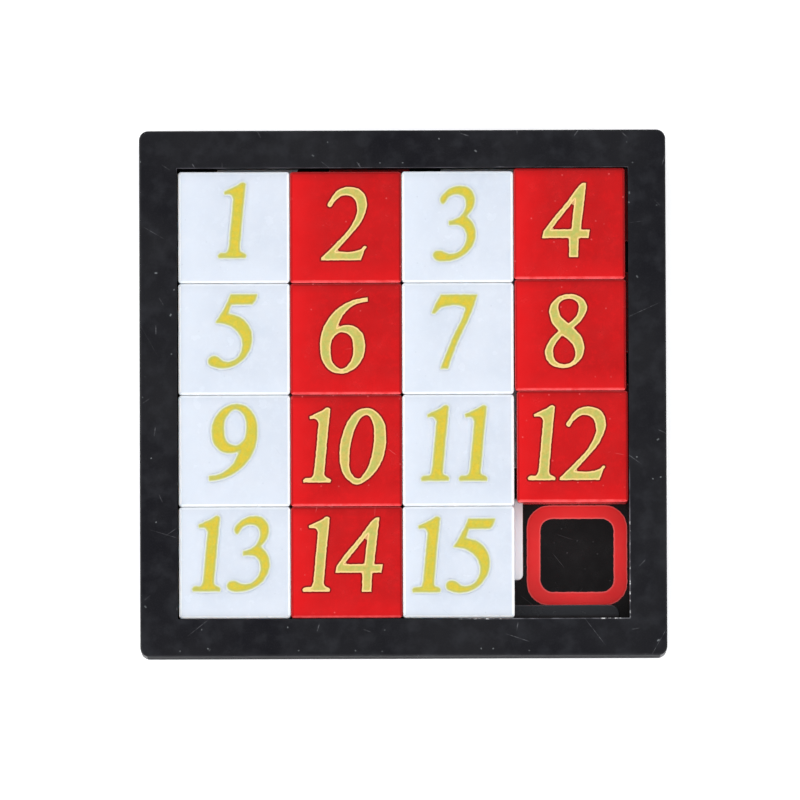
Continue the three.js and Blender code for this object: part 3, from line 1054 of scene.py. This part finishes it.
def build_tiles():
    plastics = [tile_plastic("white_plastic", WHITE_LOOK), tile_plastic("red_plastic", RED_LOOK)]
    inks = [gold_ink("gold_ink_on_white", GOLD_ON_WHITE), gold_ink("gold_ink_on_red", GOLD_ON_RED)]
    for number in range(1, 16):
        node = f"tile_{number:02d}"
        low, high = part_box(node)
        left, bottom = low.x / MM, low.y / MM
        red = (number - 1) % 2
        # How much painted highlight (above 0) and painted shade (below 0) each side of the top edge takes.
        shares = (RED_LOOK if red else WHITE_LOOK)["painted_edge_shares"]
        mesh = solid(tile_solid, left, bottom)
        paint(mesh, "from_left", lambda point: point.x - left)
        paint(mesh, "from_bottom", lambda point: point.y - bottom)
        paint(mesh, "rim", lambda point: tile_rim(point, left, bottom, shares))
        # Marks the locking plate, deep in its slot, for its painted light and shade.
        paint(mesh, "deep", lambda point: 1.0 if point.z < PLATE_HIGH + 0.1 else 0.0)
        piece(f"{node}_moulding", mesh, plastics[red], node, [node])
        ink = solid(numeral, number, left, bottom, high.z / MM)
        piece(f"{node}_number", ink, inks[red], node)


# ---- Screws ----

def screw_solid(bm, x, y, low):
    revolve(bm, x, y, [(radius, low + height) for radius, height in SCREW_PROFILE])


def recess_slot(bm, x, y, low, length, width):
    """One tapered slot of the cross recess in a screw's head."""
    corners = [(-length, -width), (length, -width), (length, width), (-length, width)]
    loops = []
    for share, height in RECESS_TAPER:
        places = [(x + across * share, y + along * share) for across, along in corners]
        loops.append([Vector((place_x, place_y, low + height)) for place_x, place_y in places])
    loft(bm, loops)


def build_screws():
    steel = zinc_steel()
    for index, (x, y) in enumerate(screw_centres()):
        node = f"screw_{index + 1}"
        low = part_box(node)[0].z / MM
        mesh = solid(screw_solid, x, y, low)
        for length, width in ((RECESS_LONG, RECESS_SHORT), (RECESS_SHORT, RECESS_LONG)):
            mesh = boolean(mesh, solid(recess_slot, x, y, low, length, width), "DIFFERENCE")
        piece(f"{node}_zinc", mesh, steel, "frame", [node])


# ---- Stage ----

def build_floor():
    """A pale table that gives off a little light, so that it shows next to no shadow."""
    make = Finish("pale_floor", Roughness=0.9)
    color = make.mix(make.between(make.noise(0.05, 2.0), 0.3, 0.7), rgb(250, 250, 250), rgb(247, 247, 247))
    make.feed(make.shader.inputs["Emission Color"], color)
    make.shader.inputs["Emission Strength"].default_value = TABLE_GLOW
    material = make.finish(color, 0.9)
    bm = bmesh.new()
    sides = [(-1, -1), (1, -1), (1, 1), (-1, 1)]
    bm.faces.new([bm.verts.new((x * TABLE_HALF, y * TABLE_HALF, TABLE_LEVEL)) for x, y in sides])
    floor = bpy.data.objects.new("floor", new_mesh("floor", bm))
    floor.data.materials.append(material)
    bpy.context.scene.collection.objects.link(floor)


def area_light(name, azimuth):
    """A soft panel that faces the puzzle. Azimuth 0 is on the +X side and 90 on the +Y side."""
    data = bpy.data.lights.new(name, "AREA")
    data.shape = "DISK"
    data.size = LIGHT_SIZE
    data.energy = LIGHT_POWER
    light = bpy.data.objects.new(name, data)
    a, e = math.radians(azimuth), math.radians(LIGHT_ELEVATION)
    towards = Vector((math.cos(a) * math.cos(e), math.sin(a) * math.cos(e), math.sin(e)))
    light.location = towards * LIGHT_DISTANCE
    light.rotation_euler = towards.to_track_quat("Z", "Y").to_euler()
    light.visible_camera = False
    bpy.context.scene.collection.objects.link(light)


def build_lights():
    """A pale dome that is dim overhead, so that black plastic stays black, and two soft panels."""
    world = bpy.data.worlds.new("studio")
    world.use_nodes = True
    tree = world.node_tree
    place = tree.nodes.new("ShaderNodeTexCoord")
    split = tree.nodes.new("ShaderNodeSeparateXYZ")
    ramp = tree.nodes.new("ShaderNodeValToRGB")
    tree.links.new(place.outputs["Generated"], split.inputs[0])
    tree.links.new(split.outputs["Z"], ramp.inputs["Fac"])
    tree.links.new(ramp.outputs["Color"], tree.nodes["Background"].inputs["Color"])
    tree.nodes["Background"].inputs["Strength"].default_value = DOME_STRENGTH
    while len(ramp.color_ramp.elements) < len(DOME_STOPS):
        ramp.color_ramp.elements.new(0.5)
    for element, (position, level) in zip(ramp.color_ramp.elements, DOME_STOPS):
        element.position = position
        element.color = (level, level * 1.01, level * 1.03, 1.0)
    bpy.context.scene.world = world
    for name, azimuth in LIGHT_AZIMUTHS.items():
        area_light(name, azimuth)


def build_camera():
    """Almost straight down, from far enough away that the sides hardly show."""
    data = bpy.data.cameras.new("camera")
    data.sensor_width = CAMERA_SENSOR_MM
    data.lens = CAMERA_LENS_MM
    camera = bpy.data.objects.new("camera", data)
    bpy.context.scene.collection.objects.link(camera)
    tilt = math.radians(CAMERA_TILT)
    roll = math.radians(CAMERA_ROLL)
    aim = Vector(CAMERA_AIM_MM) * MM
    turn = Matrix.Rotation(tilt, 3, "X") @ Matrix.Rotation(roll, 3, "Z")
    camera.matrix_world = Matrix.Translation(aim + turn @ Vector((0, 0, CAMERA_DISTANCE))) @ turn.to_4x4()
    data.clip_start = 0.1
    data.clip_end = 20
    bpy.context.scene.camera = camera
    bpy.context.scene.view_settings.view_transform = "Standard"


build_camera()
build_lights()
build_floor()
build_frame()
build_tray()
build_floor_print()
build_tiles()
build_screws()
